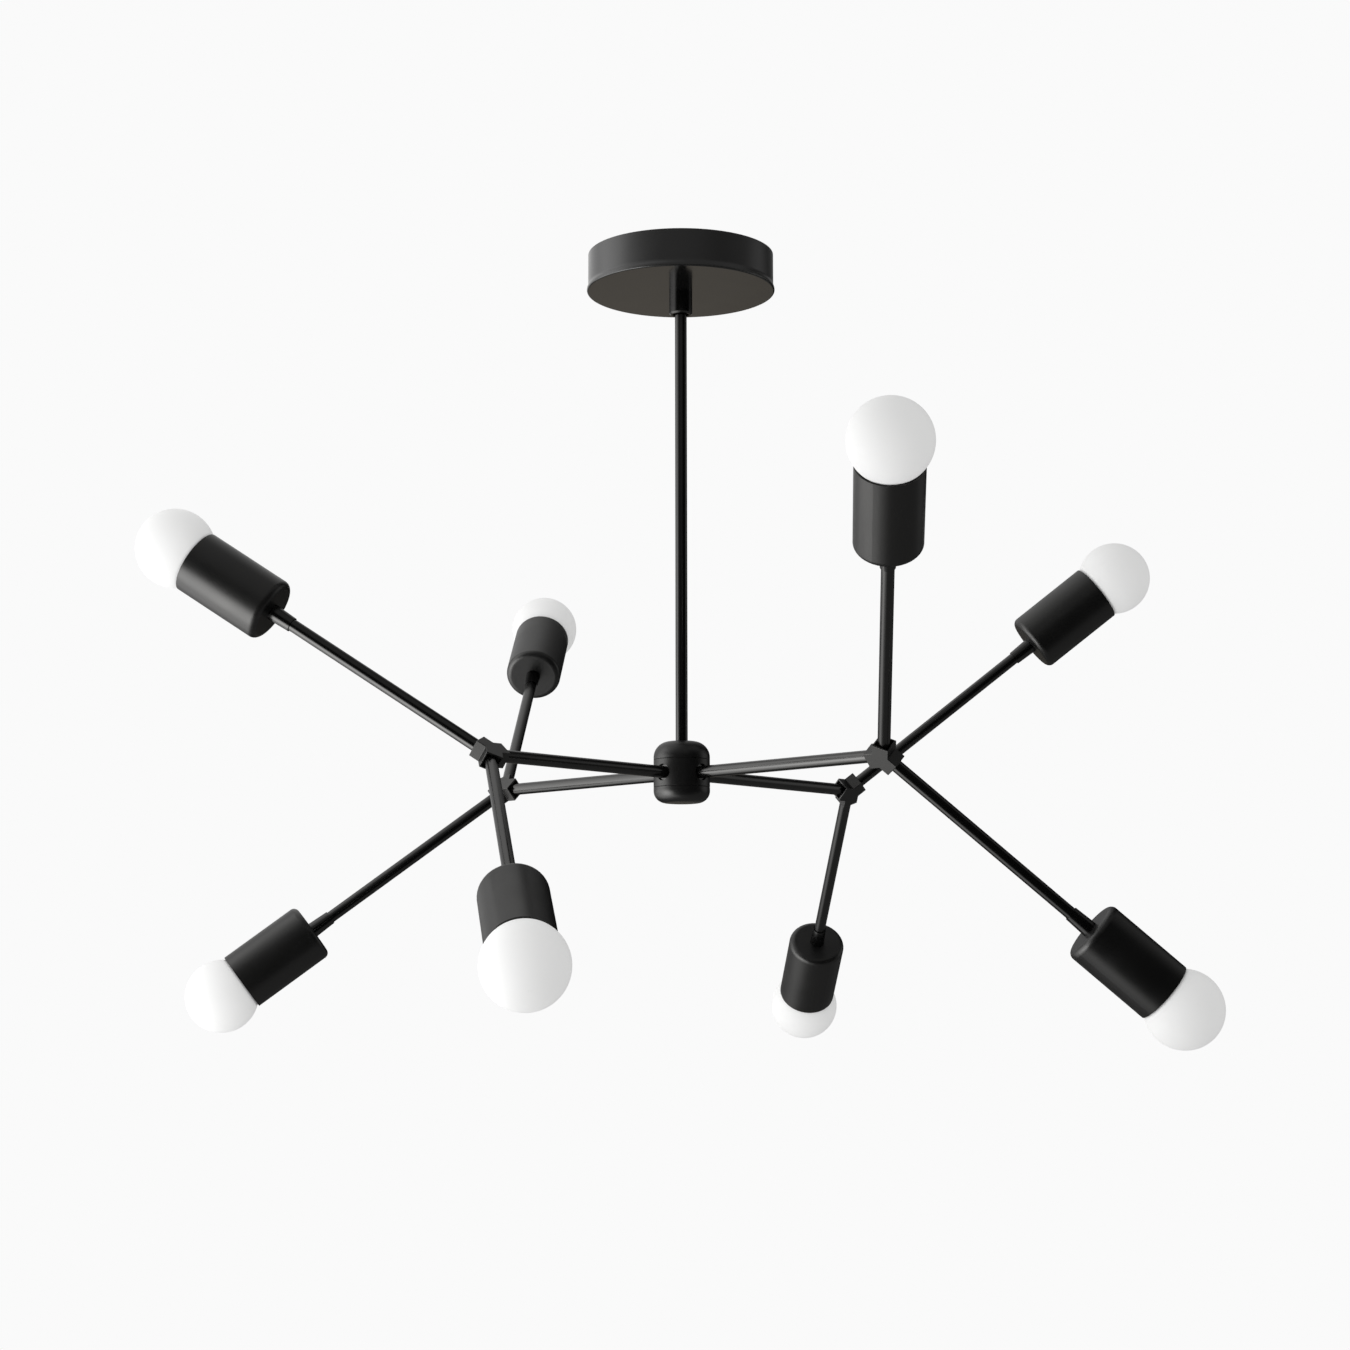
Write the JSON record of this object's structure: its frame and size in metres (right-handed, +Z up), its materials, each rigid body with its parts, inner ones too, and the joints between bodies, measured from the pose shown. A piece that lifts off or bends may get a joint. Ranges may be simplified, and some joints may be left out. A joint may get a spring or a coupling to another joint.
{
  "type": "geometric chandelier",
  "caption": "Black ceiling chandelier: a round canopy and straight stem carry a domed hub with level arms that fork into raised and lowered branches with cups and white globe bulbs.",
  "frame": {"origin": "on the stem's axis at the ceiling plane, at the centre of the crossbar's slot pattern", "axes": "+Z up into the ceiling, +X to the right and -Y to the front as pictured"},
  "size_m": [0.6805, 0.6841, 0.5329],
  "materials": {
    "satin_black": "satin",
    "zinc_plate": "satin",
    "dark_screw": "satin",
    "green_screw": "satin",
    "holder_plastic": "gloss",
    "contact_brass": "satin",
    "opal_glass": "gloss",
    "cap_aluminium": "satin"
  },
  "bodies": {
    "fixed_frame": {"ceiling_crossbar": "zinc_plate", "ground_screw": "green_screw", "stem_nipple": "zinc_plate", "stem_coupling": "zinc_plate", "lock_nuts": "zinc_plate", "stem_tube": "satin_black", "hub_top_cap": "satin_black", "hub_ring": "satin_black", "hub_bottom_cap": "satin_black"},
    "canopy": {"canopy": "satin_black", "canopy_collar": "satin_black", "collar_set_screw": "dark_screw"},
    "back_right_arm": {"back_right_arm_tube": "satin_black", "back_right_arm_lock_nut": "zinc_plate", "back_right_connector": "satin_black", "back_right_branch_tubes": "satin_black", "back_right_socket_necks": "satin_black", "back_right_socket_cups": "satin_black", "back_right_lamp_holders": "holder_plastic", "back_right_socket_contacts": "contact_brass"},
    "back_right_upper_cap": {"back_right_upper_bulb_cap": "cap_aluminium"},
    "back_right_upper_globe": {"back_right_upper_bulb_globe": "opal_glass"},
    "back_right_lower_cap": {"back_right_lower_bulb_cap": "cap_aluminium"},
    "back_right_lower_globe": {"back_right_lower_bulb_globe": "opal_glass"},
    "back_left_arm": {"back_left_arm_tube": "satin_black", "back_left_arm_lock_nut": "zinc_plate", "back_left_connector": "satin_black", "back_left_branch_tubes": "satin_black", "back_left_socket_necks": "satin_black", "back_left_socket_cups": "satin_black", "back_left_lamp_holders": "holder_plastic", "back_left_socket_contacts": "contact_brass"},
    "back_left_upper_cap": {"back_left_upper_bulb_cap": "cap_aluminium"},
    "back_left_upper_globe": {"back_left_upper_bulb_globe": "opal_glass"},
    "back_left_lower_cap": {"back_left_lower_bulb_cap": "cap_aluminium"},
    "back_left_lower_globe": {"back_left_lower_bulb_globe": "opal_glass"},
    "front_left_arm": {"front_left_arm_tube": "satin_black", "front_left_arm_lock_nut": "zinc_plate", "front_left_connector": "satin_black", "front_left_branch_tubes": "satin_black", "front_left_socket_necks": "satin_black", "front_left_socket_cups": "satin_black", "front_left_lamp_holders": "holder_plastic", "front_left_socket_contacts": "contact_brass"},
    "front_left_upper_cap": {"front_left_upper_bulb_cap": "cap_aluminium"},
    "front_left_upper_globe": {"front_left_upper_bulb_globe": "opal_glass"},
    "front_left_lower_cap": {"front_left_lower_bulb_cap": "cap_aluminium"},
    "front_left_lower_globe": {"front_left_lower_bulb_globe": "opal_glass"},
    "front_right_arm": {"front_right_arm_tube": "satin_black", "front_right_arm_lock_nut": "zinc_plate", "front_right_connector": "satin_black", "front_right_branch_tubes": "satin_black", "front_right_socket_necks": "satin_black", "front_right_socket_cups": "satin_black", "front_right_lamp_holders": "holder_plastic", "front_right_socket_contacts": "contact_brass"},
    "front_right_upper_cap": {"front_right_upper_bulb_cap": "cap_aluminium"},
    "front_right_upper_globe": {"front_right_upper_bulb_globe": "opal_glass"},
    "front_right_lower_cap": {"front_right_lower_bulb_cap": "cap_aluminium"},
    "front_right_lower_globe": {"front_right_lower_bulb_globe": "opal_glass"}
  },
  "joints": [
    {"name": "canopy_slide", "type": "slide", "parent": "fixed_frame", "child": "canopy", "axis": [0, 0, 1], "range_m": [-0.26, 0]},
    {"name": "back_right_arm_turn", "type": "hinge", "parent": "fixed_frame", "child": "back_right_arm", "pos_m": [0, 0, -0.3524], "axis": [0.7071, 0.7071, 0], "range_deg": [-90, 90]},
    {"name": "back_right_upper_bulb_travel", "type": "slide", "parent": "back_right_arm", "child": "back_right_upper_cap", "axis": [0.7828, -0.0757, 0.6177], "range_m": [0, 0.01815]},
    {"name": "back_right_upper_bulb_unscrew", "type": "hinge", "parent": "back_right_upper_cap", "child": "back_right_upper_globe", "pos_m": [0.12091, 0.12091, -0.3524], "axis": [0.7828, -0.0757, 0.6177], "range_deg": [0, 1810]},
    {"name": "back_right_lower_bulb_travel", "type": "slide", "parent": "back_right_arm", "child": "back_right_lower_cap", "axis": [-0.0757, 0.7828, -0.6177], "range_m": [0, 0.01815]},
    {"name": "back_right_lower_bulb_unscrew", "type": "hinge", "parent": "back_right_lower_cap", "child": "back_right_lower_globe", "pos_m": [0.12091, 0.12091, -0.3524], "axis": [-0.0757, 0.7828, -0.6177], "range_deg": [0, 1810]},
    {"name": "back_left_arm_turn", "type": "hinge", "parent": "fixed_frame", "child": "back_left_arm", "pos_m": [0, 0, -0.3524], "axis": [-0.7071, 0.7071, 0], "range_deg": [-90, 90]},
    {"name": "back_left_upper_bulb_travel", "type": "slide", "parent": "back_left_arm", "child": "back_left_upper_cap", "axis": [0.0906, 0.7978, 0.5961], "range_m": [0, 0.01815]},
    {"name": "back_left_upper_bulb_unscrew", "type": "hinge", "parent": "back_left_upper_cap", "child": "back_left_upper_globe", "pos_m": [-0.12091, 0.12091, -0.3524], "axis": [0.0906, 0.7978, 0.5961], "range_deg": [0, 1810]},
    {"name": "back_left_lower_bulb_travel", "type": "slide", "parent": "back_left_arm", "child": "back_left_lower_cap", "axis": [-0.7978, -0.0906, -0.5961], "range_m": [0, 0.01815]},
    {"name": "back_left_lower_bulb_unscrew", "type": "hinge", "parent": "back_left_lower_cap", "child": "back_left_lower_globe", "pos_m": [-0.12091, 0.12091, -0.3524], "axis": [-0.7978, -0.0906, -0.5961], "range_deg": [0, 1810]},
    {"name": "front_left_arm_turn", "type": "hinge", "parent": "fixed_frame", "child": "front_left_arm", "pos_m": [0, 0, -0.3524], "axis": [-0.7071, -0.7071, 0], "range_deg": [-90, 90]},
    {"name": "front_left_upper_bulb_travel", "type": "slide", "parent": "front_left_arm", "child": "front_left_upper_cap", "axis": [-0.8261, 0.119, 0.5509], "range_m": [0, 0.01815]},
    {"name": "front_left_upper_bulb_unscrew", "type": "hinge", "parent": "front_left_upper_cap", "child": "front_left_upper_globe", "pos_m": [-0.12091, -0.12091, -0.3524], "axis": [-0.8261, 0.119, 0.5509], "range_deg": [0, 1810]},
    {"name": "front_left_lower_bulb_travel", "type": "slide", "parent": "front_left_arm", "child": "front_left_lower_cap", "axis": [0.119, -0.8261, -0.5509], "range_m": [0, 0.01815]},
    {"name": "front_left_lower_bulb_unscrew", "type": "hinge", "parent": "front_left_lower_cap", "child": "front_left_lower_globe", "pos_m": [-0.12091, -0.12091, -0.3524], "axis": [0.119, -0.8261, -0.5509], "range_deg": [0, 1810]},
    {"name": "front_right_arm_turn", "type": "hinge", "parent": "fixed_frame", "child": "front_right_arm", "pos_m": [0, 0, -0.3524], "axis": [0.7071, -0.7071, 0], "range_deg": [-90, 90]},
    {"name": "front_right_upper_bulb_travel", "type": "slide", "parent": "front_right_arm", "child": "front_right_upper_cap", "axis": [-0.0562, -0.7633, 0.6436], "range_m": [0, 0.01815]},
    {"name": "front_right_upper_bulb_unscrew", "type": "hinge", "parent": "front_right_upper_cap", "child": "front_right_upper_globe", "pos_m": [0.12091, -0.12091, -0.3524], "axis": [-0.0562, -0.7633, 0.6436], "range_deg": [0, 1810]},
    {"name": "front_right_lower_bulb_travel", "type": "slide", "parent": "front_right_arm", "child": "front_right_lower_cap", "axis": [0.7633, 0.0562, -0.6436], "range_m": [0, 0.01815]},
    {"name": "front_right_lower_bulb_unscrew", "type": "hinge", "parent": "front_right_lower_cap", "child": "front_right_lower_globe", "pos_m": [0.12091, -0.12091, -0.3524], "axis": [0.7633, 0.0562, -0.6436], "range_deg": [0, 1810]}
  ],
  "couplings": [
    {"joint": "back_right_upper_bulb_unscrew", "follows": "back_right_upper_bulb_travel", "rad_per_m": 1731.4},
    {"joint": "back_right_lower_bulb_unscrew", "follows": "back_right_lower_bulb_travel", "rad_per_m": 1731.4},
    {"joint": "back_left_upper_bulb_unscrew", "follows": "back_left_upper_bulb_travel", "rad_per_m": 1731.4},
    {"joint": "back_left_lower_bulb_unscrew", "follows": "back_left_lower_bulb_travel", "rad_per_m": 1731.4},
    {"joint": "front_left_upper_bulb_unscrew", "follows": "front_left_upper_bulb_travel", "rad_per_m": 1731.4},
    {"joint": "front_left_lower_bulb_unscrew", "follows": "front_left_lower_bulb_travel", "rad_per_m": 1731.4},
    {"joint": "front_right_upper_bulb_unscrew", "follows": "front_right_upper_bulb_travel", "rad_per_m": 1731.4},
    {"joint": "front_right_lower_bulb_unscrew", "follows": "front_right_lower_bulb_travel", "rad_per_m": 1731.4}
  ]
}
